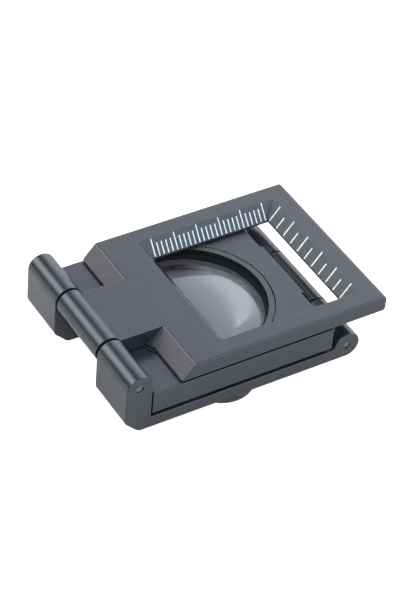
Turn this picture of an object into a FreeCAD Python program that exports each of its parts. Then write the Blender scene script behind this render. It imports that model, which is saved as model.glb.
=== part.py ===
import FreeCAD, Part
import math
import os

# A folding magnifier of three hinged metal leaves, folded flat. From the bottom up they are the
# back plate, the lens plate and the scale plate. Lengths are in millimetres.
#
# The leaves are drawn with x from the outer face of the tall lugs towards the free end, y from
# the middle of the width, and z from the underside of the back plate. deliver() then moves every
# piece so that the origin is at the middle of the footprint, at the level the magnifier rests on.

# Whole object
WIDTH = 38.2
LENGTH = 56.5
REST_DROP = 1.95

# Hinges. Both run across the width.
HINGE_RADIUS = 2.75
PIN_RADIUS = 0.8
PIN_LENGTH = 37.8
PIN_PLAY = 0.05
SCALE_AXIS_X = HINGE_RADIUS
SCALE_AXIS_Z = 10.65
LENS_AXIS_X = 48.4
LENS_AXIS_Z = HINGE_RADIUS
SCALE_SLOT_WIDTH = 16.1
SCALE_KNUCKLE_WIDTH = 14.6
LENS_SLOT_WIDTH = 15.8
LENS_KNUCKLE_WIDTH = 14.9
WASHER_RADIUS = 1.9
WASHER_PLAY = 0.06

# Back plate
BACK_THICKNESS = 2.55
LUG_THICKNESS = 2 * HINGE_RADIUS
LUG_CORNER = 3.0
LENS_SLOT_TOP_X = 44.4
LENS_SLOT_BOTTOM_X = 42.7
FOOT_RADIUS = 6.8
FOOT_SET_BACK = 0.05
FOOT_ROUND = 0.8

# Lens plate
LENS_PLATE_START = 5.8
LENS_PLATE_END = 44.9
WEB_TOP_X = 45.35
WEB_FOOT_X = 47.3
WEB_ROUND = 0.7
LENS_PLATE_BOTTOM = 3.4
LENS_PLATE_TOP = 8.25

# Lens cell, its ring and the cemented lens
LENS_X = 24.5
CELL_RADIUS = 16.15
CELL_BORE = 15.0
CELL_LIP_BORE = 13.9
CELL_FLANGE_RADIUS = 16.9
CELL_SEAT = 0.45
CELL_ROUND = 0.25
RELIEF_RADIUS = 16.45
RELIEF_DEPTH = 0.7
CELL_CLEARANCE = 0.5
RING_BORE = 14.5
RING_BOTTOM = 6.03
RING_HEIGHT = 1.0
GLASS_RADIUS = 14.9
GLASS_TOP_EDGE = 5.9
GLASS_JOINT_EDGE = 3.9
GLASS_BOTTOM_EDGE = 0.75
GLASS_TOP_CURVE = 54.0
GLASS_JOINT_CURVE = 38.0
GLASS_BOTTOM_CURVE = 51.5

# Scale plate
SCALE_BOTTOM = 8.5
SCALE_TOP = 11.9
SCALE_SLOPE_BOTTOM_X = 11.45
SCALE_SLOPE_TOP_X = 14.4
SLOPE_FOOT_ROUND = 0.25
NOTCH_CORNER_RADIUS = 1.0
END_ROUND = 0.75
WINDOW = 26.0
WINDOW_CENTRE_X = 37.05
BEVEL = 2.4
WINDOW_LAND = 0.42

# Scale marks, filled grooves on two of the window's bevels
MARK_DEPTH = 0.1
MM_PITCH = 1.0
MM_COUNT = 26
MM_MARK_WIDTH = 0.25
MM_LONG_EVERY = 5
TENTH_PITCH = 2.54
TENTH_COUNT = 11
TENTH_MARK_WIDTH = 0.32
TENTH_LONG_EVERY = 2
MARK_FOOT = 0.04
MARK_LONG = 0.97
MARK_SHORT = 0.72

EDGE_BREAK = 0.2


def box(x0, x1, y0, y1, z0, z1):
    return Part.makeBox(x1 - x0, y1 - y0, z1 - z0, FreeCAD.Vector(x0, y0, z0))


def rod(x, z, radius, width):
    """A round bar across the width, centred on y = 0."""
    return Part.makeCylinder(radius, width, FreeCAD.Vector(x, -width / 2, z), FreeCAD.Vector(0, 1, 0))


def disc(radius, z0, z1):
    """An upright cylinder about the lens axis."""
    return Part.makeCylinder(radius, z1 - z0, FreeCAD.Vector(LENS_X, 0, z0))


def slab(points, width):
    """A profile in x and z, drawn out across the width and centred on y = 0."""
    corners = [FreeCAD.Vector(x, -width / 2, z) for x, z in points]
    face = Part.Face(Part.makePolygon(corners + corners[:1]))
    return face.extrude(FreeCAD.Vector(0, width, 0))


def turned(points):
    """A profile in radius and z, turned about the lens axis."""
    corners = [FreeCAD.Vector(LENS_X + r, 0, z) for r, z in points]
    face = Part.Face(Part.makePolygon(corners + corners[:1]))
    return face.revolve(FreeCAD.Vector(LENS_X, 0, 0), FreeCAD.Vector(0, 0, 1), 360)


def near(a, b):
    return abs(a - b) < 0.01


def is_straight(edge):
    ends = [v.Point for v in edge.Vertexes]
    return len(ends) == 2 and near(edge.Length, ends[0].distanceToPoint(ends[1]))


def edges_where(shape, test):
    """The straight edges whose two ends both pass the test."""
    chosen = []
    for edge in shape.Edges:
        if is_straight(edge) and all(test(v.Point) for v in edge.Vertexes):
            chosen.append(edge)
    return chosen


def soften(shape, size, test):
    """Round the straight edges that pass the test."""
    edges = edges_where(shape, test)
    return shape.makeFillet(size, edges)


def across(x, z):
    """A test for the edges that run across the width at this x and z."""
    return lambda p: near(p.x, x) and near(p.z, z)


def long_sides(z):
    """A test for the outer edges along the length at this height."""
    return lambda p: near(abs(p.y), WIDTH / 2) and near(p.z, z)


def end_edges(shape):
    """The two edges that run across the width at the scale plate's free end."""
    found = edges_where(shape, lambda p: near(p.x, LENGTH))
    return [e for e in found if near(e.Length, WIDTH)]


def back_blank():
    """The back plate before its slots and holes: plate, tall lugs and low knuckles."""
    outline = [
        (0, LUG_CORNER),
        (LUG_CORNER, 0),
        (LENS_AXIS_X, 0),
        (LENS_AXIS_X, BACK_THICKNESS),
        (LUG_THICKNESS, BACK_THICKNESS),
        (LUG_THICKNESS, SCALE_AXIS_Z),
        (0, SCALE_AXIS_Z),
    ]
    blank = slab(outline, WIDTH)
    blank = blank.fuse(rod(SCALE_AXIS_X, SCALE_AXIS_Z, HINGE_RADIUS, WIDTH))
    blank = blank.fuse(rod(LENS_AXIS_X, LENS_AXIS_Z, HINGE_RADIUS, WIDTH))
    blank = blank.removeSplitter()
    corner_round = 1.8
    blank = soften(blank, corner_round, across(0, LUG_CORNER))
    blank = soften(blank, corner_round, across(LUG_CORNER, 0))
    knuckle_reach = math.sqrt(HINGE_RADIUS**2 - (LENS_AXIS_Z - BACK_THICKNESS) ** 2)
    root_round = 0.7
    root = across(LENS_AXIS_X - knuckle_reach, BACK_THICKNESS)
    blank = soften(blank, root_round, root)
    foot_round = 0.25
    return soften(blank, foot_round, across(LUG_THICKNESS, BACK_THICKNESS))


def lens_slot_cutter():
    """The opening between the low knuckles. Its plate side slants, to clear the lens leaf as it swings."""
    slant = (LENS_SLOT_TOP_X - LENS_SLOT_BOTTOM_X) / BACK_THICKNESS
    over = 1.0
    outline = [
        (LENS_SLOT_BOTTOM_X - slant * over, -over),
        (LENGTH, -over),
        (LENGTH, 2 * LENS_AXIS_Z + over),
        (LENS_SLOT_TOP_X, 2 * LENS_AXIS_Z + over),
        (LENS_SLOT_TOP_X, BACK_THICKNESS),
    ]
    return slab(outline, LENS_SLOT_WIDTH)


def foot(side):
    """A round foot under the middle of a long edge, before the lens cell's hole takes most of it."""
    middle = FreeCAD.Vector(LENS_X, side * (WIDTH / 2 - FOOT_RADIUS - FOOT_SET_BACK), -REST_DROP)
    overlap = 1.0
    post = Part.makeCylinder(FOOT_RADIUS, REST_DROP + overlap, middle)
    rim = [e for e in post.Edges if near(e.BoundBox.ZMax, -REST_DROP)]
    return post.makeFillet(FOOT_ROUND, rim)


def back_plate():
    plate = back_blank()
    plate = soften(plate, EDGE_BREAK, long_sides(BACK_THICKNESS))
    plate = plate.fuse([foot(-1), foot(1)])
    half = SCALE_SLOT_WIDTH / 2
    plate = plate.cut(box(-1, LUG_THICKNESS, -half, half, -1, 2 * SCALE_AXIS_Z))
    plate = plate.cut(lens_slot_cutter())
    plate = plate.cut(disc(CELL_FLANGE_RADIUS + CELL_CLEARANCE, -REST_DROP - 1, BACK_THICKNESS + 1))
    plate = plate.cut(rod(SCALE_AXIS_X, SCALE_AXIS_Z, PIN_RADIUS, WIDTH + 2))
    return plate.cut(rod(LENS_AXIS_X, LENS_AXIS_Z, PIN_RADIUS, WIDTH + 2))


def knuckle_web():
    """The web that joins the lens plate to its knuckle. Its top slopes down and its foot is tangent."""
    run = LENS_AXIS_X - LENS_PLATE_END
    rise = LENS_PLATE_BOTTOM - LENS_AXIS_Z
    reach = math.hypot(run, rise)
    turn = math.pi - math.atan2(rise, run) + math.acos(HINGE_RADIUS / reach)
    touch_x = LENS_AXIS_X + HINGE_RADIUS * math.cos(turn)
    touch_z = LENS_AXIS_Z + HINGE_RADIUS * math.sin(turn)
    foot_z = LENS_AXIS_Z + math.sqrt(HINGE_RADIUS**2 - (LENS_AXIS_X - WEB_FOOT_X) ** 2)
    overlap = 1.0
    outline = [
        (LENS_PLATE_END - overlap, LENS_PLATE_BOTTOM),
        (LENS_PLATE_END, LENS_PLATE_BOTTOM),
        (touch_x, touch_z),
        (LENS_AXIS_X, LENS_AXIS_Z),
        (WEB_FOOT_X, foot_z),
        (WEB_TOP_X, LENS_PLATE_TOP),
        (LENS_PLATE_END - overlap, LENS_PLATE_TOP),
    ]
    web = slab(outline, LENS_KNUCKLE_WIDTH)
    return soften(web, WEB_ROUND, across(WEB_TOP_X, LENS_PLATE_TOP))


def lens_plate():
    half = WIDTH / 2
    plate = box(LENS_PLATE_START, LENS_PLATE_END, -half, half, LENS_PLATE_BOTTOM, LENS_PLATE_TOP)
    outer = lambda p: near(p.z, LENS_PLATE_TOP) or near(p.z, LENS_PLATE_BOTTOM)
    plate = soften(plate, EDGE_BREAK, outer)
    plate = plate.fuse(knuckle_web())
    plate = plate.fuse(rod(LENS_AXIS_X, LENS_AXIS_Z, HINGE_RADIUS, LENS_KNUCKLE_WIDTH))
    plate = plate.removeSplitter()
    plate = plate.cut(rod(LENS_AXIS_X, LENS_AXIS_Z, PIN_RADIUS + PIN_PLAY, WIDTH))
    plate = plate.cut(disc(CELL_RADIUS, 0, SCALE_TOP))
    return plate.cut(disc(RELIEF_RADIUS, LENS_PLATE_TOP - RELIEF_DEPTH, SCALE_TOP))


def notch_corner(side):
    """What the cutter leaves in a notch's inner corner: nothing at the top, a full radius below."""
    wall = side * SCALE_KNUCKLE_WIDTH / 2
    radius = NOTCH_CORNER_RADIUS
    inside = 0.6
    apex_inside = 0.15
    rest = radius * (1 - math.cos(math.pi / 4))
    on_wall = FreeCAD.Vector(SCALE_SLOPE_BOTTOM_X - radius, wall, SCALE_BOTTOM)
    between = FreeCAD.Vector(SCALE_SLOPE_BOTTOM_X - rest, wall + side * rest, SCALE_BOTTOM)
    on_slope = FreeCAD.Vector(SCALE_SLOPE_BOTTOM_X, wall + side * radius, SCALE_BOTTOM)
    hidden = [
        on_slope,
        FreeCAD.Vector(SCALE_SLOPE_BOTTOM_X + inside, wall + side * radius, SCALE_BOTTOM),
        FreeCAD.Vector(SCALE_SLOPE_BOTTOM_X + inside, wall - side * inside, SCALE_BOTTOM),
        FreeCAD.Vector(SCALE_SLOPE_BOTTOM_X - radius, wall - side * inside, SCALE_BOTTOM),
        on_wall,
    ]
    edges = [Part.Arc(on_wall, between, on_slope).toShape()]
    edges += Part.makePolygon(hidden).Edges
    apex = FreeCAD.Vector(SCALE_SLOPE_TOP_X + apex_inside, wall - side * apex_inside, SCALE_TOP - apex_inside)
    return Part.makeLoft([Part.Wire(edges), Part.Vertex(apex)], True, True)


def scale_leaf_blank():
    """The scale plate before its window: a plate with sloped and rounded ends, tongue and knuckle."""
    outline = [
        (SCALE_SLOPE_BOTTOM_X, SCALE_BOTTOM),
        (LENGTH, SCALE_BOTTOM),
        (LENGTH, SCALE_TOP),
        (SCALE_SLOPE_TOP_X, SCALE_TOP),
    ]
    blank = slab(outline, WIDTH)
    blank = soften(blank, SLOPE_FOOT_ROUND, across(SCALE_SLOPE_BOTTOM_X, SCALE_BOTTOM))
    blank = blank.makeFillet(END_ROUND, end_edges(blank))
    side_break = 0.5
    blank = soften(blank, side_break, long_sides(SCALE_TOP))
    overlap = 2.0
    tongue = [
        (SCALE_AXIS_X, SCALE_BOTTOM),
        (SCALE_SLOPE_TOP_X + overlap, SCALE_BOTTOM),
        (SCALE_SLOPE_TOP_X + overlap, SCALE_TOP),
        (SCALE_AXIS_X, SCALE_TOP),
    ]
    blank = blank.fuse(slab(tongue, SCALE_KNUCKLE_WIDTH))
    blank = blank.fuse(rod(SCALE_AXIS_X, SCALE_AXIS_Z, HINGE_RADIUS, SCALE_KNUCKLE_WIDTH))
    for side in (1, -1):
        blank = blank.fuse(notch_corner(side))
    return blank.removeSplitter()


def window_cutter():
    """The window's opening: a short straight land, then bevels that widen to the top face."""
    half = WINDOW / 2
    x = WINDOW_CENTRE_X
    land_top = SCALE_BOTTOM + WINDOW_LAND
    land = box(x - half, x + half, -half, half, SCALE_BOTTOM - 1, land_top)
    slope = BEVEL / (SCALE_TOP - land_top)
    rings = []
    for z in (land_top, SCALE_TOP + 1):
        side = half + slope * (z - land_top)
        corners = [(x - side, -side), (x + side, -side), (x + side, side), (x - side, side)]
        points = [FreeCAD.Vector(px, py, z) for px, py in corners]
        rings.append(Part.makePolygon(points + points[:1]))
    bevels = Part.makeLoft(rings, True, True)
    return land.fuse(bevels)


def mark_on_bevel(along, width, length):
    """One filled groove on the bevel at +y, at this place along x. Its foot is by the lower edge."""
    half = WINDOW / 2
    foot_z = SCALE_BOTTOM + WINDOW_LAND
    rise = SCALE_TOP - foot_z
    slant = math.hypot(BEVEL, rise)
    inward = FreeCAD.Vector(0, rise, -BEVEL) * (MARK_DEPTH / slant)
    left = FreeCAD.Vector(along - width / 2, 0, 0)
    ends = []
    for share in (MARK_FOOT, length):
        ends.append(left + FreeCAD.Vector(0, half + BEVEL * share, foot_z + rise * share))
    corners = [ends[0], ends[1], ends[1] + inward, ends[0] + inward]
    face = Part.Face(Part.makePolygon(corners + corners[:1]))
    return face.extrude(FreeCAD.Vector(width, 0, 0))


def marks(count, pitch, width, long_every, keep_long):
    """Marks along the +y bevel about the window's middle, the long ones or the short ones."""
    solids = []
    for i in range(count):
        is_long = i % long_every == 0
        if is_long == keep_long:
            place = WINDOW_CENTRE_X + (i - (count - 1) / 2) * pitch
            solids.append(mark_on_bevel(place, width, MARK_LONG if is_long else MARK_SHORT))
    return Part.makeCompound(solids)


def mm_marks(keep_long):
    return marks(MM_COUNT, MM_PITCH, MM_MARK_WIDTH, MM_LONG_EVERY, keep_long)


def tenth_marks(keep_long):
    """The same kind of marks, turned a quarter round the window's middle to the free end's bevel."""
    found = marks(TENTH_COUNT, TENTH_PITCH, TENTH_MARK_WIDTH, TENTH_LONG_EVERY, keep_long)
    centre = FreeCAD.Vector(WINDOW_CENTRE_X, 0, 0)
    found.rotate(centre, FreeCAD.Vector(0, 0, 1), -90)
    return found


def scale_plate(mark_sets):
    plate = scale_leaf_blank()
    plate = plate.cut(window_cutter())
    plate = plate.cut(rod(SCALE_AXIS_X, SCALE_AXIS_Z, PIN_RADIUS + PIN_PLAY, WIDTH))
    for mark_set in mark_sets:
        plate = plate.cut(mark_set)
    return plate


def hinge_pin(x, z):
    pin = rod(x, z, PIN_RADIUS, PIN_LENGTH)
    rims = [e for e in pin.Edges if isinstance(e.Curve, Part.Circle)]
    dome = 0.25
    return pin.makeFillet(dome, rims)


def washers(x, z, slot_width, knuckle_width):
    """A thin washer on the pin at each end of the middle knuckle."""
    gap = (slot_width - knuckle_width) / 2
    thickness = gap - 2 * WASHER_PLAY
    found = []
    for side in (-1, 1):
        middle = side * (knuckle_width + gap) / 2
        start = FreeCAD.Vector(x, middle - thickness / 2, z)
        direction = FreeCAD.Vector(0, 1, 0)
        ring = Part.makeCylinder(WASHER_RADIUS, thickness, start, direction)
        found.append(ring.cut(Part.makeCylinder(PIN_RADIUS + PIN_PLAY, thickness, start, direction)))
    return Part.makeCompound(found)


def lens_cell():
    """The turned tube that holds the lens. Its rim is flush with the lens plate's upper face."""
    inner_chamfer = 0.8
    profile = [
        (CELL_BORE, LENS_PLATE_TOP),
        (CELL_RADIUS, LENS_PLATE_TOP),
        (CELL_RADIUS, LENS_PLATE_BOTTOM),
        (CELL_FLANGE_RADIUS, LENS_PLATE_BOTTOM),
        (CELL_FLANGE_RADIUS, -REST_DROP),
        (CELL_LIP_BORE + inner_chamfer, -REST_DROP),
        (CELL_LIP_BORE, inner_chamfer - REST_DROP),
        (CELL_LIP_BORE, CELL_SEAT),
        (CELL_BORE, CELL_SEAT),
    ]
    cell = turned(profile)
    rim = []
    for edge in cell.Edges:
        low = near(edge.BoundBox.ZMax, -REST_DROP)
        wide = near(edge.BoundBox.XMax, LENS_X + CELL_FLANGE_RADIUS)
        if low and wide:
            rim.append(edge)
    return cell.makeFillet(CELL_ROUND, rim)


def lens_retaining_ring():
    profile = [
        (RING_BORE, RING_BOTTOM),
        (CELL_BORE, RING_BOTTOM),
        (CELL_BORE, RING_BOTTOM + RING_HEIGHT),
        (RING_BORE, RING_BOTTOM + RING_HEIGHT),
    ]
    return turned(profile)


def curve_height(curve):
    """How far a glass surface of this radius bulges from its edge to its middle."""
    return curve - math.sqrt(curve**2 - GLASS_RADIUS**2)


def glass_arc(edge_z, curve, upward):
    """Half of a lens surface's section, from the lens axis to the glass's edge."""
    way = 1 if upward else -1
    middle_z = edge_z + way * curve_height(curve)
    half_angle = math.asin(GLASS_RADIUS / curve) / 2
    half_x = curve * math.sin(half_angle)
    half_z = middle_z - way * (curve - curve * math.cos(half_angle))
    start = FreeCAD.Vector(LENS_X, 0, middle_z)
    between = FreeCAD.Vector(LENS_X + half_x, 0, half_z)
    end = FreeCAD.Vector(LENS_X + GLASS_RADIUS, 0, edge_z)
    return Part.Arc(start, between, end).toShape()


def glass(top_arc, bottom_arc):
    """A solid of glass between two surfaces with the same axis."""
    top, bottom = top_arc.Vertexes, bottom_arc.Vertexes
    edge = Part.makeLine(top[1].Point, bottom[1].Point)
    axis = Part.makeLine(bottom[0].Point, top[0].Point)
    section = Part.Face(Part.Wire([top_arc, edge, bottom_arc, axis]))
    return section.revolve(FreeCAD.Vector(LENS_X, 0, 0), FreeCAD.Vector(0, 0, 1), 360)


def lens_crown():
    """The upper element of the cemented pair, curved outwards on both sides."""
    top = glass_arc(GLASS_TOP_EDGE, GLASS_TOP_CURVE, True)
    bottom = glass_arc(GLASS_JOINT_EDGE, GLASS_JOINT_CURVE, False)
    return glass(top, bottom)


def lens_flint():
    """The lower element, which fits the upper one's curve."""
    top = glass_arc(GLASS_JOINT_EDGE, GLASS_JOINT_CURVE, False)
    bottom = glass_arc(GLASS_BOTTOM_EDGE, GLASS_BOTTOM_CURVE, False)
    return glass(top, bottom)


def deliver(name, shape):
    """Move a piece to the object's own frame and write it."""
    placed = shape.copy()
    placed.translate(FreeCAD.Vector(-LENGTH / 2, 0, REST_DROP))
    placed.exportStep("parts/" + name + ".step")
    print(name, "valid" if placed.isValid() else "NOT VALID", len(placed.Solids), round(placed.Volume, 2))


def main():
    os.makedirs("parts", exist_ok=True)
    mark_sets = {
        "mm_marks_long": mm_marks(True),
        "mm_marks_short": mm_marks(False),
        "tenth_inch_marks_long": tenth_marks(True),
        "tenth_inch_marks_short": tenth_marks(False),
    }
    pieces = {
        "back_plate": back_plate(),
        "lens_plate": lens_plate(),
        "scale_plate": scale_plate(mark_sets.values()),
        "scale_hinge_pin": hinge_pin(SCALE_AXIS_X, SCALE_AXIS_Z),
        "lens_hinge_pin": hinge_pin(LENS_AXIS_X, LENS_AXIS_Z),
        "scale_hinge_washers": washers(
            SCALE_AXIS_X, SCALE_AXIS_Z, SCALE_SLOT_WIDTH, SCALE_KNUCKLE_WIDTH
        ),
        "lens_hinge_washers": washers(
            LENS_AXIS_X, LENS_AXIS_Z, LENS_SLOT_WIDTH, LENS_KNUCKLE_WIDTH
        ),
        "lens_cell": lens_cell(),
        "lens_retaining_ring": lens_retaining_ring(),
        "lens_crown": lens_crown(),
        "lens_flint": lens_flint(),
    }
    pieces.update(mark_sets)
    for name, shape in pieces.items():
        deliver(name, shape)


main()
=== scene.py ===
import bpy
import bmesh
import math
from mathutils import Matrix, Vector


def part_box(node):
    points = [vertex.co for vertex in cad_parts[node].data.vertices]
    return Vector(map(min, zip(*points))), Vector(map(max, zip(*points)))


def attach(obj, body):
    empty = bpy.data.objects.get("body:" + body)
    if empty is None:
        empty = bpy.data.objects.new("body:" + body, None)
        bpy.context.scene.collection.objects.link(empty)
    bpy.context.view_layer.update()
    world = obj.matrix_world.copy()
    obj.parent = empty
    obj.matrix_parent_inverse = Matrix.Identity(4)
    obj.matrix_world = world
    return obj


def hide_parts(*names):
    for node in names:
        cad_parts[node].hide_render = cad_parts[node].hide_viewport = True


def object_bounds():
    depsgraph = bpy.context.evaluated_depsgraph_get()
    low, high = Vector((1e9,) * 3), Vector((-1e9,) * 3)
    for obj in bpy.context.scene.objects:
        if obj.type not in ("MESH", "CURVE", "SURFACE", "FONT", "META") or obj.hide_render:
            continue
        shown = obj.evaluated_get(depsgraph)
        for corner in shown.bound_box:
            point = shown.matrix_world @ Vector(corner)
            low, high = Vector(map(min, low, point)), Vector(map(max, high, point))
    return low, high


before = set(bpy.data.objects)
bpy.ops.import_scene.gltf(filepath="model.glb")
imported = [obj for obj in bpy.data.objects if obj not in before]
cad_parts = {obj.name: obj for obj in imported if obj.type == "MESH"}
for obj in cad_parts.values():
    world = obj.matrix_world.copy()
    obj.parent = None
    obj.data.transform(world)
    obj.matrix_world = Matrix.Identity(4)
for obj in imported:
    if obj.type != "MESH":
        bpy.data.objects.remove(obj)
cad_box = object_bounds()

MM = 0.001


# ---------------------------------------------------------------- node helpers
# Object coordinates are in metres, so a noise's scale is roughly its number of features per metre.

def new_material(name):
    """A material whose node tree holds a Principled shader and its output."""
    material = bpy.data.materials.new(name)
    material.use_nodes = True
    tree = material.node_tree
    tree.nodes.clear()
    output = tree.nodes.new("ShaderNodeOutputMaterial")
    shader = tree.nodes.new("ShaderNodeBsdfPrincipled")
    tree.links.new(shader.outputs["BSDF"], output.inputs["Surface"])
    return material, tree, shader


def add(tree, kind, **properties):
    """A new node with its properties set."""
    node = tree.nodes.new(kind)
    for key, value in properties.items():
        setattr(node, key, value)
    return node


def feed(tree, socket, value):
    """Give a socket a number, a colour or another node's output."""
    if isinstance(value, bpy.types.NodeSocket):
        tree.links.new(value, socket)
    elif isinstance(value, tuple):
        socket.default_value = (*value, 1.0)
    else:
        socket.default_value = value


def object_coords(tree):
    """The place on the object, along the object's own axes."""
    return add(tree, "ShaderNodeTexCoord").outputs["Object"]


def own_normal(tree):
    """The surface's normal along the object's own axes."""
    return add(tree, "ShaderNodeTexCoord").outputs["Normal"]


def axes(tree, vector):
    """A vector's X, Y and Z."""
    node = add(tree, "ShaderNodeSeparateXYZ")
    tree.links.new(vector, node.inputs[0])
    return node.outputs


def noise(tree, coords, scale, detail=2.0, rough=0.5):
    """A cloudy noise from 0 to 1, mostly between 0.3 and 0.7."""
    node = add(tree, "ShaderNodeTexNoise")
    node.inputs["Scale"].default_value = scale
    node.inputs["Detail"].default_value = detail
    node.inputs["Roughness"].default_value = rough
    tree.links.new(coords, node.inputs["Vector"])
    return node.outputs["Fac"]


def spread(tree, value, low, high, from_low=0.3, from_high=0.7):
    """The value, spread over the range from low to high and held at its ends."""
    node = add(tree, "ShaderNodeMapRange")
    node.inputs["From Min"].default_value = from_low
    node.inputs["From Max"].default_value = from_high
    node.inputs["To Min"].default_value = low
    node.inputs["To Max"].default_value = high
    tree.links.new(value, node.inputs["Value"])
    return node.outputs["Result"]


def blend_colours(tree, share, first, second):
    """The first colour where the share is 0 and the second where it is 1."""
    node = add(tree, "ShaderNodeMix", data_type="RGBA")
    # The colour sockets come after the ones for numbers and vectors.
    share_in, first_in, second_in, mixed = node.inputs[0], node.inputs[6], node.inputs[7], node.outputs[2]
    tree.links.new(share, share_in)
    feed(tree, first_in, first)
    feed(tree, second_in, second)
    return mixed


def calculate(tree, operation, *values):
    """The result of a Math node's operation on numbers or other nodes' outputs."""
    node = add(tree, "ShaderNodeMath", operation=operation)
    for socket, value in zip(node.inputs, values):
        feed(tree, socket, value)
    return node.outputs[0]


def multiply(tree, first, second):
    """The product of two numbers or other nodes' outputs."""
    return calculate(tree, "MULTIPLY", first, second)


def rounded_normal(tree, radius):
    """The normal that the surface would have with its edges rounded."""
    node = add(tree, "ShaderNodeBevel", samples=6)
    node.inputs["Radius"].default_value = radius
    return node.outputs["Normal"]


def add_bump(tree, shader, height, strength, depth, normal=None):
    """Roughen the shader's normal, or the normal given, by a height from 0 to 1."""
    node = add(tree, "ShaderNodeBump")
    node.inputs["Strength"].default_value = strength
    node.inputs["Distance"].default_value = depth
    tree.links.new(height, node.inputs["Height"])
    if normal:
        tree.links.new(normal, node.inputs["Normal"])
    tree.links.new(node.outputs["Normal"], shader.inputs["Normal"])


def edge_share(tree, radius):
    """0 on open faces and in inner corners, up to 1 near outer edges, where a rounded normal turns."""
    geometry = add(tree, "ShaderNodeNewGeometry")
    dot = add(tree, "ShaderNodeVectorMath", operation="DOT_PRODUCT")
    tree.links.new(rounded_normal(tree, radius), dot.inputs[0])
    tree.links.new(geometry.outputs["Normal"], dot.inputs[1])
    openness = add(tree, "ShaderNodeAmbientOcclusion", samples=4, only_local=True)
    openness.inputs["Distance"].default_value = 3 * radius
    outer = spread(tree, openness.outputs["AO"], 0.0, 1.0, 0.7, 0.95)
    return multiply(tree, spread(tree, dot.outputs["Value"], 0.0, 1.0, 1.0, 0.86), outer)


# ---------------------------------------------------------------- where a finish, a painted shade or a painted reflection changes

def facing(tree, axis, start, full):
    """0 to 1 as the part of the surface's normal along an axis goes from start to full."""
    return spread(tree, axes(tree, own_normal(tree))[axis], 0.0, 1.0, start, full)


def milled_share(tree, coords):
    """1 on the scale plate's faces that slope towards -X, which are milled, and 0 elsewhere."""
    knuckle_end, slope_start = -20.0 * MM, -19.0 * MM
    sloping = facing(tree, "X", -0.6, -0.72)
    past_knuckle = spread(tree, axes(tree, coords)["X"], 0.0, 1.0, knuckle_end, slope_start)
    return multiply(tree, sloping, past_knuckle)


def millimetre_bevel_share(tree):
    """1 on the window's bevel that bears the millimetre marks, and 0 elsewhere: where the painted bluish
    reflection goes.
    """
    return multiply(tree, facing(tree, "Y", -0.6, -0.72), facing(tree, "Z", 0.4, 0.55))


def corner_share(tree, coords):
    """1 in the notches' inner corners, which face partly along X and partly along Y, and 0 elsewhere: where
    the painted shade goes.
    """
    corners_end, outer_edges_start = 10.0 * MM, 11.0 * MM
    normal = axes(tree, own_normal(tree))
    both = calculate(tree, "ABSOLUTE", multiply(tree, normal["X"], normal["Y"]))
    slanting = spread(tree, both, 0.0, 1.0, 0.04, 0.12)
    from_middle = calculate(tree, "ABSOLUTE", axes(tree, coords)["Y"])
    inner = spread(tree, from_middle, 1.0, 0.0, corners_end, outer_edges_start)
    return multiply(tree, slanting, inner)


# ---------------------------------------------------------------- materials

def dyed_colour(tree, coords, dark, light, paler, wear_and_highlight, edge_radius):
    """A dye that is faintly cloudy and specked, and paler in patches along the outer edges: partly wear and
    partly a painted edge highlight.
    """
    clouds = noise(tree, coords, 160.0, 3.0)
    specks = noise(tree, coords, 5200.0, 2.0, 0.7)
    colour = blend_colours(tree, spread(tree, clouds, 0.0, 1.0), dark, light)
    colour = blend_colours(tree, spread(tree, specks, 0.0, 0.4, 0.5, 0.75), colour, paler)
    patchy = spread(tree, noise(tree, coords, 900.0, 4.0), 0.15, 1.0, 0.35, 0.65)
    # Paler outer edges: partly wear, partly a painted highlight where the edges catch the light.
    wear_and_highlight_share = multiply(tree, edge_share(tree, edge_radius), patchy)
    return blend_colours(tree, wear_and_highlight_share, colour, wear_and_highlight)


def milled_finish(tree, shader, coords, colour, roughness, milled, paler, dark):
    """The scale plate's colour and roughness: the given ones, with its milled faces on top.

    Its slopes are rougher and show the cutter's marks, its millimetre bevel is coloured bluer as a painted
    reflection, and its notches' inner corners are coloured dark and less glossy as a painted shade."""
    # Painted reflection: the millimetre bevel is coloured bluer, for the bluish light it reflects.
    blue = (0.006, 0.0175, 0.025)
    full_gloss, faint_gloss = 0.5, 0.05
    share = milled_share(tree, coords)
    scratches = noise(tree, coords, 2400.0, 4.0, 0.7)
    cut = blend_colours(tree, spread(tree, scratches, 0.0, 1.0), milled, paler)
    colour = blend_colours(tree, share, colour, cut)
    colour = blend_colours(tree, millimetre_bevel_share(tree), colour, blue)
    added = multiply(tree, share, spread(tree, scratches, 0.1, 0.24))
    # Painted shade: the notches' inner corners are coloured dark and made less glossy, for the shadow that
    # falls there.
    dull = corner_share(tree, coords)
    colour = blend_colours(tree, dull, colour, dark)
    specular = spread(tree, dull, full_gloss, faint_gloss, 0.0, 1.0)
    tree.links.new(specular, shader.inputs["Specular IOR Level"])
    return colour, calculate(tree, "ADD", roughness, added)


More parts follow.
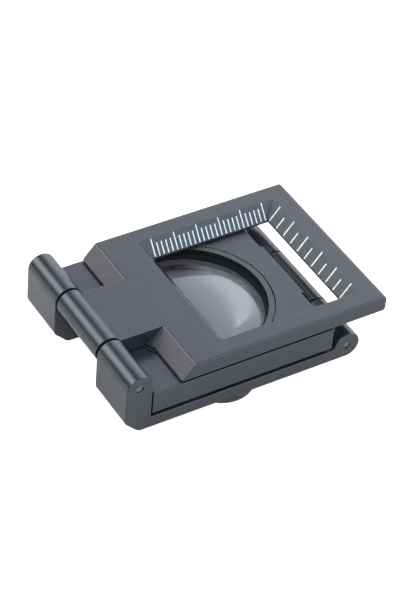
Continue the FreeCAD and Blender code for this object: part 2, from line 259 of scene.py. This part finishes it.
def metal(name, dark, light, wear_and_highlight, rough, index=1.6, milled=None):
    """Bead-blasted and dyed anodised aluminium: a fine grain, faint cloudiness and paler edges, which are
    partly wear and partly a painted highlight.

    A colour for milled faces, if there is one, adds the scale plate's milled finish, along with the painted
    shade in its notch corners and the painted reflection on its millimetre bevel."""
    edge_radius = 0.12 * MM
    grain_depth = 0.004 * MM
    paler = tuple(1.35 * part for part in light)
    material, tree, shader = new_material(name)
    shader.inputs["IOR"].default_value = index
    coords = object_coords(tree)
    colour = dyed_colour(tree, coords, dark, light, paler, wear_and_highlight, edge_radius)
    smudges = noise(tree, coords, 90.0, 4.0, 0.6)
    roughness = spread(tree, smudges, rough - 0.035, rough + 0.045)
    if milled:
        colour, roughness = milled_finish(tree, shader, coords, colour, roughness, milled, paler, dark)
    tree.links.new(colour, shader.inputs["Base Color"])
    tree.links.new(roughness, shader.inputs["Roughness"])
    grain = noise(tree, coords, 7000.0, 2.0, 0.6)
    add_bump(tree, shader, grain, 0.5, grain_depth, rounded_normal(tree, edge_radius))
    return material


def from_lens_axis(tree, coords):
    """The place on the object, measured from the lens's axis."""
    low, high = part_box("lens_cell")
    centred = add(tree, "ShaderNodeVectorMath", operation="SUBTRACT")
    tree.links.new(coords, centred.inputs[0])
    centred.inputs[1].default_value = ((low[0] + high[0]) / 2, (low[1] + high[1]) / 2, 0.0)
    return centred.outputs["Vector"]


def bore_shares(tree, coords, centred):
    """Two shares inside the cell's bore: 1 at all heights, and 1 from just below the ring upwards."""
    low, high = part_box("lens_retaining_ring")
    bore_radius = (high[0] - low[0]) / 2
    black_start, black_full = low[2] - 0.6 * MM, low[2] - 0.5 * MM
    flat = add(tree, "ShaderNodeVectorMath", operation="MULTIPLY")
    tree.links.new(centred, flat.inputs[0])
    flat.inputs[1].default_value = (1.0, 1.0, 0.0)
    radius = add(tree, "ShaderNodeVectorMath", operation="LENGTH")
    tree.links.new(flat.outputs["Vector"], radius.inputs[0])
    wall, past_wall = bore_radius + 0.02 * MM, bore_radius + 0.08 * MM
    inside = spread(tree, radius.outputs["Value"], 1.0, 0.0, wall, past_wall)
    high_up = spread(tree, axes(tree, coords)["Z"], 0.0, 1.0, black_start, black_full)
    return inside, multiply(tree, inside, high_up)


def turned_metal(name, dark, light, rough, ring_scale, index=1.6, bore=None, seat=None):
    """Lathe-turned metal: fine rings about the lens axis under a dark finish.

    The bore, if it has its own colours, is blackened and made less glossy from just below the retaining
    ring upwards, partly a real blackening and partly a painted shade for the dark inside of the cell, and
    bare round the lens and below it."""
    material, tree, shader = new_material(name)
    shader.inputs["IOR"].default_value = index
    coords = object_coords(tree)
    centred = from_lens_axis(tree, coords)
    rings = add(tree, "ShaderNodeTexWave", wave_type="RINGS", rings_direction="Z", wave_profile="SIN")
    rings.inputs["Scale"].default_value = ring_scale
    rings.inputs["Distortion"].default_value = 0.4
    rings.inputs["Detail"].default_value = 2.0
    tree.links.new(centred, rings.inputs["Vector"])
    clouds = noise(tree, coords, 300.0, 3.0)
    ring_share = multiply(tree, rings.outputs["Fac"], spread(tree, clouds, 0.5, 1.0))
    colour = blend_colours(tree, ring_share, dark, light)
    if bore:
        inside, blackened = bore_shares(tree, coords, centred)
        colour = blend_colours(tree, inside, colour, seat)
        # Partly painted shade: the bore's upper part is near black and less glossy, for the shade inside
        # the cell as well as its blackening.
        colour = blend_colours(tree, blackened, colour, bore)
        full_gloss, faint_gloss = 0.5, 0.06
        specular = spread(tree, blackened, full_gloss, faint_gloss, 0.0, 1.0)
        tree.links.new(specular, shader.inputs["Specular IOR Level"])
    tree.links.new(colour, shader.inputs["Base Color"])
    tree.links.new(spread(tree, clouds, rough - 0.04, rough + 0.05), shader.inputs["Roughness"])
    ring_depth = 0.004 * MM
    add_bump(tree, shader, rings.outputs["Fac"], 0.35, ring_depth)
    return material


def pin_metal(name):
    """Darkened steel with a few bright scuffs."""
    dark, bright = (0.11, 0.115, 0.125), (0.3, 0.3, 0.31)
    material, tree, shader = new_material(name)
    shader.inputs["Metallic"].default_value = 1.0
    scuffs = noise(tree, object_coords(tree), 2600.0, 4.0, 0.65)
    colour = blend_colours(tree, spread(tree, scuffs, 0.0, 1.0, 0.4, 0.7), dark, bright)
    tree.links.new(colour, shader.inputs["Base Color"])
    tree.links.new(spread(tree, scuffs, 0.42, 0.3), shader.inputs["Roughness"])
    return material


def paint(name):
    """Pale paint wiped into engraved lines: slightly uneven, with a few thin spots."""
    thinner, thicker = (0.4, 0.49, 0.56), (0.62, 0.72, 0.78)
    material, tree, shader = new_material(name)
    cover = noise(tree, object_coords(tree), 1800.0, 3.0, 0.6)
    colour = blend_colours(tree, spread(tree, cover, 0.0, 1.0), thinner, thicker)
    tree.links.new(colour, shader.inputs["Base Color"])
    tree.links.new(spread(tree, cover, 0.45, 0.6), shader.inputs["Roughness"])
    paint_depth = 0.01 * MM
    add_bump(tree, shader, cover, 0.4, paint_depth)
    return material


def glass(name):
    """Polished glass, very faintly uneven, coloured grey so that what shows through it is darker: a painted
    shade for the shadowed floor under the lens, not a colour of the real glass.
    """
    # Painted shade: this grey darkens the floor seen through the lens, which lies in the magnifier's
    # shadow.
    painted_shade_tint = (0.66, 0.675, 0.725, 1.0)
    material, tree, shader = new_material(name)
    shader.inputs["Base Color"].default_value = painted_shade_tint
    shader.inputs["Transmission Weight"].default_value = 1.0
    shader.inputs["IOR"].default_value = 1.56
    film = noise(tree, object_coords(tree), 120.0, 4.0, 0.6)
    tree.links.new(spread(tree, film, 0.0, 0.012, 0.45, 0.8), shader.inputs["Roughness"])
    return material


def ground_edge(name):
    """The lens's ground edge, grey and dull."""
    darker, lighter = (0.34, 0.335, 0.335), (0.5, 0.495, 0.49)
    material, tree, shader = new_material(name)
    grit = noise(tree, object_coords(tree), 4000.0, 3.0, 0.7)
    colour = blend_colours(tree, spread(tree, grit, 0.0, 1.0), darker, lighter)
    tree.links.new(colour, shader.inputs["Base Color"])
    tree.links.new(spread(tree, grit, 0.75, 0.95), shader.inputs["Roughness"])
    return material


def cell_finish():
    """Turned and dyed metal, with a blackened bore over a bare seat for the lens; the bore's black is
    partly a painted shade.
    """
    return turned_metal(
        "turned_cell", dark=(0.013, 0.015, 0.018), light=(0.023, 0.0235, 0.025), rough=0.3,
        ring_scale=700.0, bore=(0.007, 0.0092, 0.0105), seat=(0.17, 0.165, 0.16),
    )


def ring_finish_and_shade():
    """Matt black turned metal with little gloss; its black is partly a painted shade for the dark band
    round the lens.
    """
    return turned_metal(
        "black_ring", dark=(0.005, 0.0066, 0.0075), light=(0.008, 0.0104, 0.0116), rough=0.6,
        ring_scale=900.0, index=1.25,
    )


def washer_gap_shade():
    """Near-black metal without shine: a painted shade for the dark gaps between the hinge knuckles."""
    return metal(
        "washer_painted_gap_shade", dark=(0.003, 0.003, 0.004), light=(0.006, 0.006, 0.007),
        wear_and_highlight=(0.02, 0.02, 0.02), rough=0.55, index=1.2,
    )


def finish_nodes():
    """Give every CAD node its finish."""
    slate_look = {
        "dark": (0.010, 0.0135, 0.0195),
        "light": (0.0135, 0.0175, 0.024),
        # The edge colour is partly wear and partly a painted highlight.
        "wear_and_highlight": (0.15, 0.17, 0.195),
        "rough": 0.26,
    }
    slate = metal("anodised_slate", **slate_look)
    slate_milled = metal("anodised_slate_milled", **slate_look, milled=(0.064, 0.056, 0.057))
    cell = cell_finish()
    black = ring_finish_and_shade()
    washer = washer_gap_shade()
    steel = pin_metal("pin_steel_dark")
    marks = paint("engraved_paint")
    finishes = {
        "back_plate": slate,
        "lens_plate": slate,
        "scale_plate": slate_milled,
        "lens_cell": cell,
        "lens_retaining_ring": black,
        "scale_hinge_washers": washer,
        "lens_hinge_washers": washer,
        "scale_hinge_pin": steel,
        "lens_hinge_pin": steel,
        "mm_marks_long": marks,
        "mm_marks_short": marks,
        "tenth_inch_marks_long": marks,
        "tenth_inch_marks_short": marks,
    }
    for name, finish in finishes.items():
        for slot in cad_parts[name].material_slots:
            slot.material = finish


# ---------------------------------------------------------------- the lens

def lens_profile(top, bottom, radius, chamfer):
    """Half of the lens's section as (radius, height) points, from the top's middle to the bottom's."""
    top_bulge = 2.1 * MM
    bottom_bulge = 2.2 * MM
    top_edge = top - top_bulge
    bottom_edge = bottom + bottom_bulge
    steps = 40
    reach = [(radius - chamfer) * i / steps for i in range(steps + 1)]

    def rise(r, bulge):
        """How far a face stands out from the lens's edge at a radius."""
        curve = (radius**2 + bulge**2) / (2 * bulge)
        return math.sqrt(curve**2 - r**2) - (curve - bulge)

    profile = [(r, top_edge + rise(r, top_bulge)) for r in reach]
    profile.append((radius, top_edge - chamfer))
    profile.append((radius, bottom_edge + chamfer))
    profile += [(r, bottom_edge - rise(r, bottom_bulge)) for r in reversed(reach)]
    return profile


def turned_mesh(name, profile, centre):
    """A closed mesh turned about an upright axis from a profile that starts and ends on it."""
    around = 160
    build = bmesh.new()
    rows = []
    for r, z in profile:
        if r == 0:
            rows.append([build.verts.new((centre.x, centre.y, z))])
            continue
        row = []
        for k in range(around):
            angle = 2 * math.pi * k / around
            row.append(build.verts.new((centre.x + r * math.cos(angle), centre.y + r * math.sin(angle), z)))
        rows.append(row)
    for upper, lower in zip(rows, rows[1:]):
        for k in range(around):
            after = (k + 1) % around
            if len(upper) == 1:
                corners = [upper[0], lower[k], lower[after]]
            elif len(lower) == 1:
                corners = [upper[k], lower[0], upper[after]]
            else:
                corners = [upper[k], lower[k], lower[after], upper[after]]
            build.faces.new(corners)
    bmesh.ops.recalc_face_normals(build, faces=build.faces)
    mesh = bpy.data.meshes.new(name)
    build.to_mesh(mesh)
    build.free()
    return mesh


def lens_piece():
    """The cemented lens as one piece of glass, with finely divided faces so that it refracts cleanly."""
    low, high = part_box("lens_crown")
    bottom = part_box("lens_flint")[0][2]
    centre = Vector(((low[0] + high[0]) / 2, (low[1] + high[1]) / 2, 0.0))
    radius = (high[0] - low[0]) / 2
    chamfer = 0.15 * MM
    mesh = turned_mesh("lens_glass", lens_profile(high[2], bottom, radius, chamfer), centre)
    mesh.materials.append(glass("optical_glass_painted_shade"))
    mesh.materials.append(ground_edge("lens_ground_edge"))
    for polygon in mesh.polygons:
        polygon.use_smooth = True
        at_edge = (polygon.center.xy - centre.xy).length > radius - chamfer
        polygon.material_index = 1 if at_edge else 0
    mesh.set_sharp_from_angle(angle=math.radians(30))
    piece = bpy.data.objects.new("lens_glass", mesh)
    bpy.context.scene.collection.objects.link(piece)
    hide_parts("lens_crown", "lens_flint")
    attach(piece, "lens_leaf")


# ---------------------------------------------------------------- studio

def floor():
    """A plain pale floor, just below the level that the magnifier rests on."""
    half_size = 1.5
    gap = 0.05 * MM
    glow = 0.8
    mesh = bpy.data.meshes.new("floor")
    build = bmesh.new()
    bmesh.ops.create_grid(build, x_segments=4, y_segments=4, size=half_size)
    build.to_mesh(mesh)
    build.free()
    piece = bpy.data.objects.new("floor", mesh)
    piece.location.z = cad_box[0][2] - gap
    bpy.context.scene.collection.objects.link(piece)

    material, tree, shader = new_material("floor_paper")
    share = spread(tree, noise(tree, object_coords(tree), 30.0, 3.0), 0.0, 1.0)
    paper = blend_colours(tree, share, (0.56, 0.55, 0.545), (0.59, 0.58, 0.575))
    tree.links.new(paper, shader.inputs["Base Color"])
    # It glows only to the camera, so it looks evenly lit and adds no light to the object.
    seen = add(tree, "ShaderNodeLightPath").outputs["Is Camera Ray"]
    shader.inputs["Emission Color"].default_value = (1.0, 1.0, 1.0, 1.0)
    tree.links.new(multiply(tree, seen, glow), shader.inputs["Emission Strength"])
    shader.inputs["Roughness"].default_value = 0.9
    shader.inputs["Specular IOR Level"].default_value = 0.0
    mesh.materials.append(material)


def strip_colours(tree, direction, top_level):
    """The strip lights' colour by the angle about the Y axis, from +X over the top to -X."""
    right_tint = (0.885, 0.925, 1.0)
    left_tint = (0.94, 0.965, 1.0)
    # Chosen so that each face of the folded magnifier is as light or dark as it should be.
    levels_at_degrees = [
        (0, 0.9), (11, 2.2), (34, 2.7), (58, 1.85), (72, 0.7), (83, 0.1), (95, 0.1), (104, 1.6),
        (113, 4.2), (122, 4.7), (136, 4.6), (147, 2.6), (157, 0.5), (167, 0.05), (176, 0.05), (180, 0.7),
    ]
    way = axes(tree, direction)
    angle = calculate(tree, "ARCTAN2", way["Z"], way["X"])
    ramp = add(tree, "ShaderNodeValToRGB")
    tree.links.new(spread(tree, angle, 0.0, 1.0, 0.0, math.pi), ramp.inputs["Fac"])
    elements = ramp.color_ramp.elements
    while len(elements) < len(levels_at_degrees):
        elements.new(0.5)
    for element, (degrees, level) in zip(elements, levels_at_degrees):
        element.position = degrees / 180.0
        share = level / top_level
        red, green, blue = right_tint if degrees < 90 else left_tint
        element.color = (red * share, green * share, blue * share, 1.0)
    return ramp.outputs["Color"]


def studio_world():
    """Long soft strip lights along the object's width. The camera itself sees a plain pale backdrop."""
    world = bpy.data.worlds.new("studio")
    bpy.context.scene.world = world
    world.use_nodes = True
    tree = world.node_tree
    tree.nodes.clear()
    output = tree.nodes.new("ShaderNodeOutputWorld")
    direction = add(tree, "ShaderNodeTexCoord").outputs["Generated"]
    top_level = 5.0
    strips = add(tree, "ShaderNodeBackground")
    strips.inputs["Strength"].default_value = top_level
    tree.links.new(strip_colours(tree, direction, top_level), strips.inputs["Color"])
    plain = add(tree, "ShaderNodeBackground")
    plain.inputs["Color"].default_value = (0.9, 0.9, 0.9, 1.0)
    rays = add(tree, "ShaderNodeLightPath")
    choice = add(tree, "ShaderNodeMixShader")
    tree.links.new(rays.outputs["Is Camera Ray"], choice.inputs["Fac"])
    tree.links.new(strips.outputs[0], choice.inputs[1])
    tree.links.new(plain.outputs[0], choice.inputs[2])
    tree.links.new(choice.outputs[0], output.inputs["Surface"])


def camera():
    """A long lens that looks down on the magnifier from the near left, tilted a little."""
    place = Vector((-190.907, -278.207, 305.872)) * MM
    azimuth, elevation, roll = math.radians(34.654), math.radians(41.396), math.radians(-5.651)
    data = bpy.data.cameras.new("camera")
    data.sensor_width = 36.0
    data.lens = 141.8
    data.shift_x = -0.0192
    data.shift_y = 0.003
    data.clip_start = 0.01
    data.clip_end = 20.0
    eye = bpy.data.objects.new("camera", data)
    bpy.context.scene.collection.objects.link(eye)
    ahead = Vector((
        math.cos(elevation) * math.sin(azimuth),
        math.cos(elevation) * math.cos(azimuth),
        -math.sin(elevation),
    ))
    right = ahead.cross(Vector((0, 0, 1))).normalized()
    up = right.cross(ahead)
    tilted_right = right * math.cos(roll) - up * math.sin(roll)
    tilted_up = right * math.sin(roll) + up * math.cos(roll)
    turn = Matrix((tilted_right, tilted_up, -ahead)).transposed()
    eye.matrix_world = Matrix.Translation(place) @ turn.to_4x4()
    bpy.context.scene.camera = eye


# ---------------------------------------------------------------- putting it together

camera()
finish_nodes()
lens_piece()
floor()
studio_world()
bpy.context.scene.view_settings.view_transform = "Standard"
